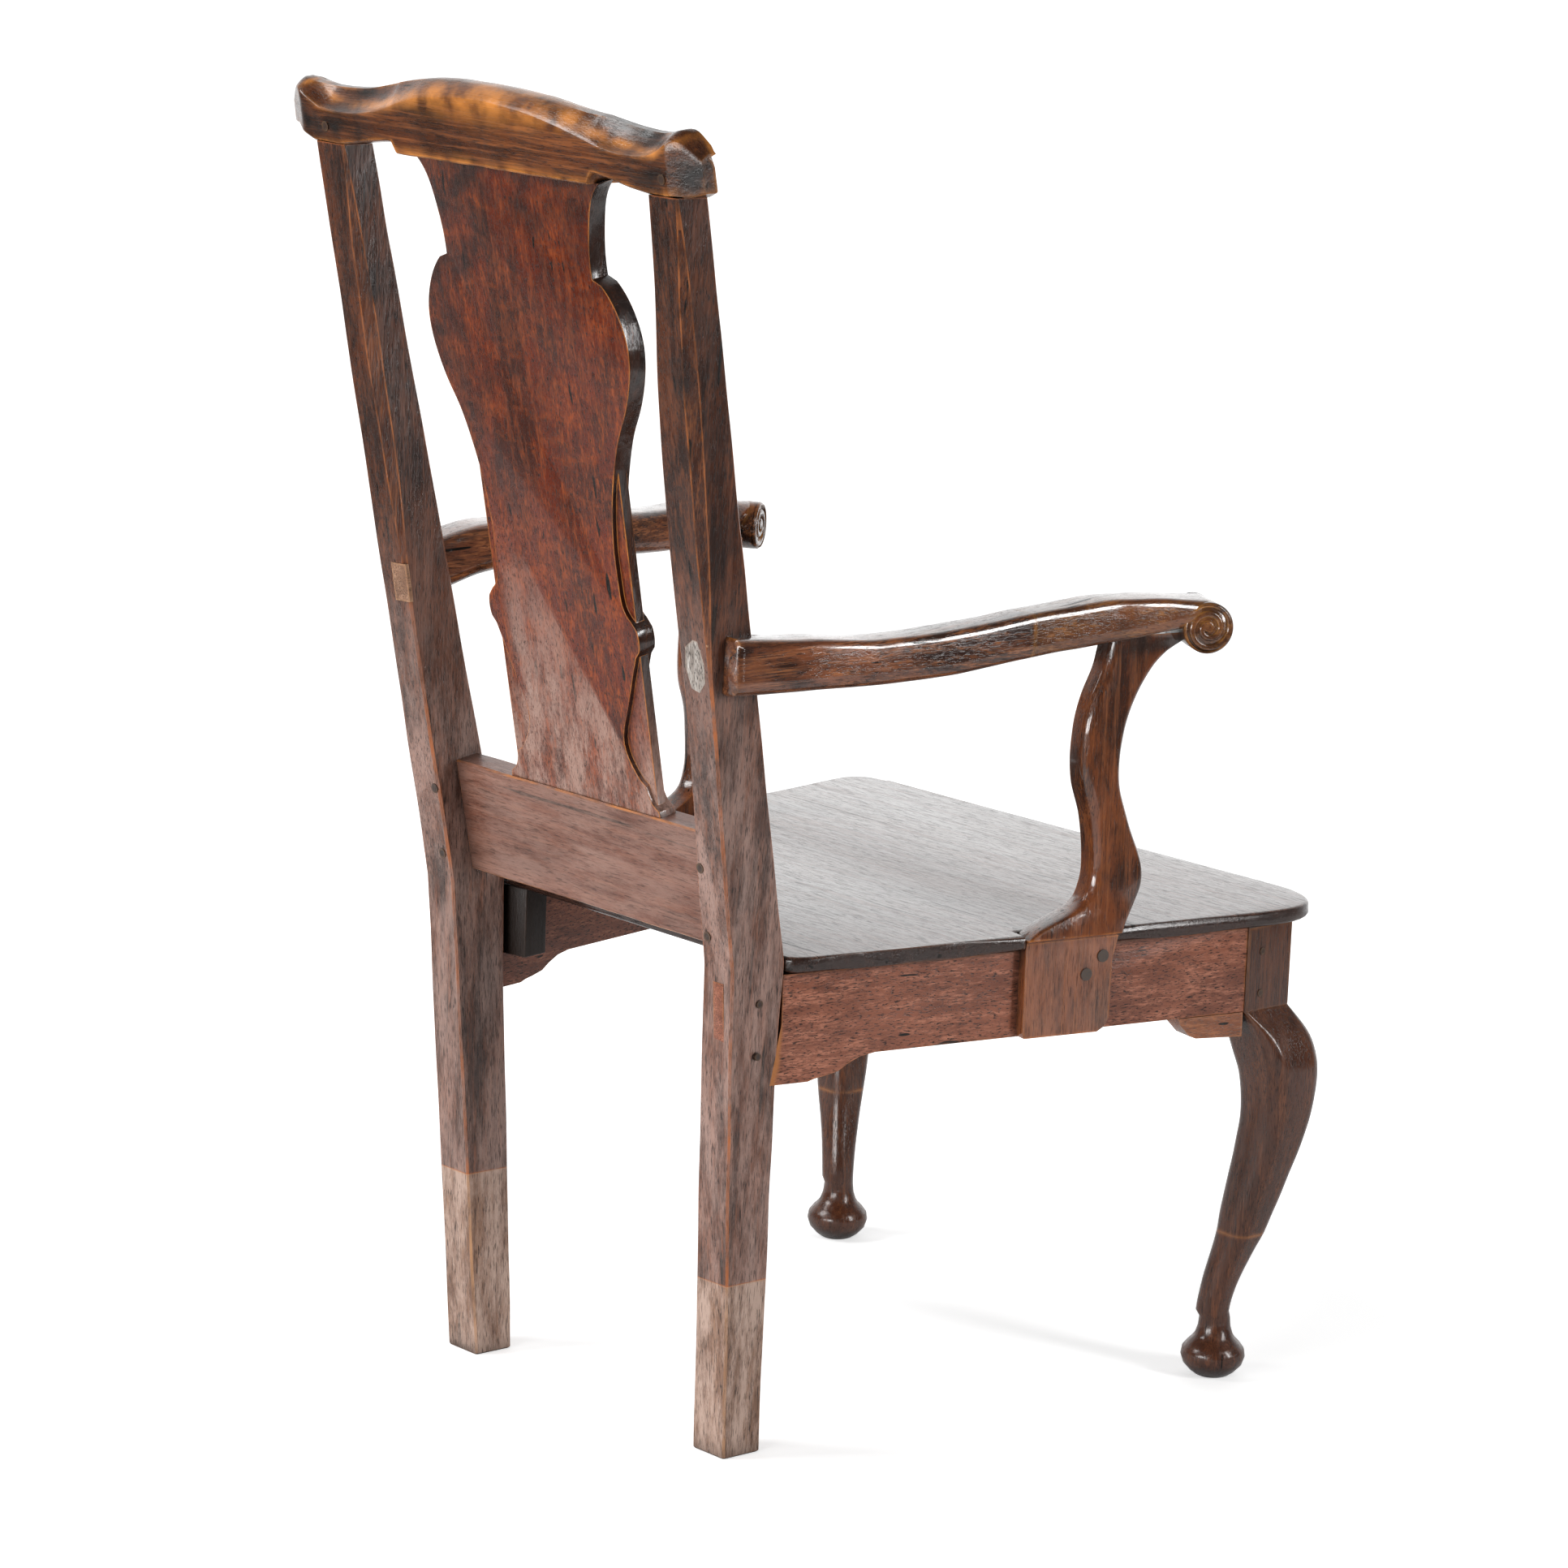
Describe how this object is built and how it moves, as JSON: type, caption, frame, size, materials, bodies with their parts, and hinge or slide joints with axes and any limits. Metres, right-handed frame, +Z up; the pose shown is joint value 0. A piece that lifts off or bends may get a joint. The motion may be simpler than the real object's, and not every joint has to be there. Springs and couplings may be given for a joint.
{
  "type": "open armchair",
  "caption": "Joined oak open armchair with yoke crest, solid vase splat, out-swept scroll arms, board seat, cabriole front legs with pad feet and raked square rear posts.",
  "frame": {"origin": "on the floor under the middle of the chair's plan", "axes": "+Z up, front of the chair towards -Y, +X to the sitter's left"},
  "size_m": [0.598, 0.679, 1.0647],
  "materials": {
    "oak_old": "old waxed dark oak, worn to orange brown on the edges",
    "oak_renewed": "later oak, a little lighter, waxed",
    "old_iron": "old dark iron screws"
  },
  "bodies": {
    "root": {"rear_post_left": "oak_old", "rear_post_right": "oak_old", "rear_foot_left": "oak_renewed", "rear_foot_right": "oak_renewed", "crest_rail": "oak_old", "splat": "oak_old", "back_rail": "oak_old", "side_rail_left": "oak_old", "side_rail_right": "oak_old", "front_rail": "oak_old", "front_leg_left": "oak_old", "front_leg_right": "oak_old", "front_foot_left": "oak_renewed", "front_foot_right": "oak_renewed", "seat_board": "oak_old", "arm_left": "oak_old", "arm_right_rear": "oak_old", "arm_right_front": "oak_old", "arm_support_left": "oak_old", "arm_support_right": "oak_old", "support_screws_left": "old_iron", "support_screws_right": "old_iron", "knee_bracket_side_left": "oak_renewed", "knee_bracket_side_right": "oak_renewed", "knee_bracket_front_left": "oak_old", "knee_bracket_front_right": "oak_old", "corner_block_left": "oak_old", "corner_block_right": "oak_old", "crest_pegs": "oak_old", "back_rail_pegs": "oak_old", "rail_rear_pegs_left": "oak_old", "rail_front_pegs_left": "oak_old", "rail_rear_pegs_right": "oak_old", "rail_front_pegs_right": "oak_old"}
  },
  "joints": []
}
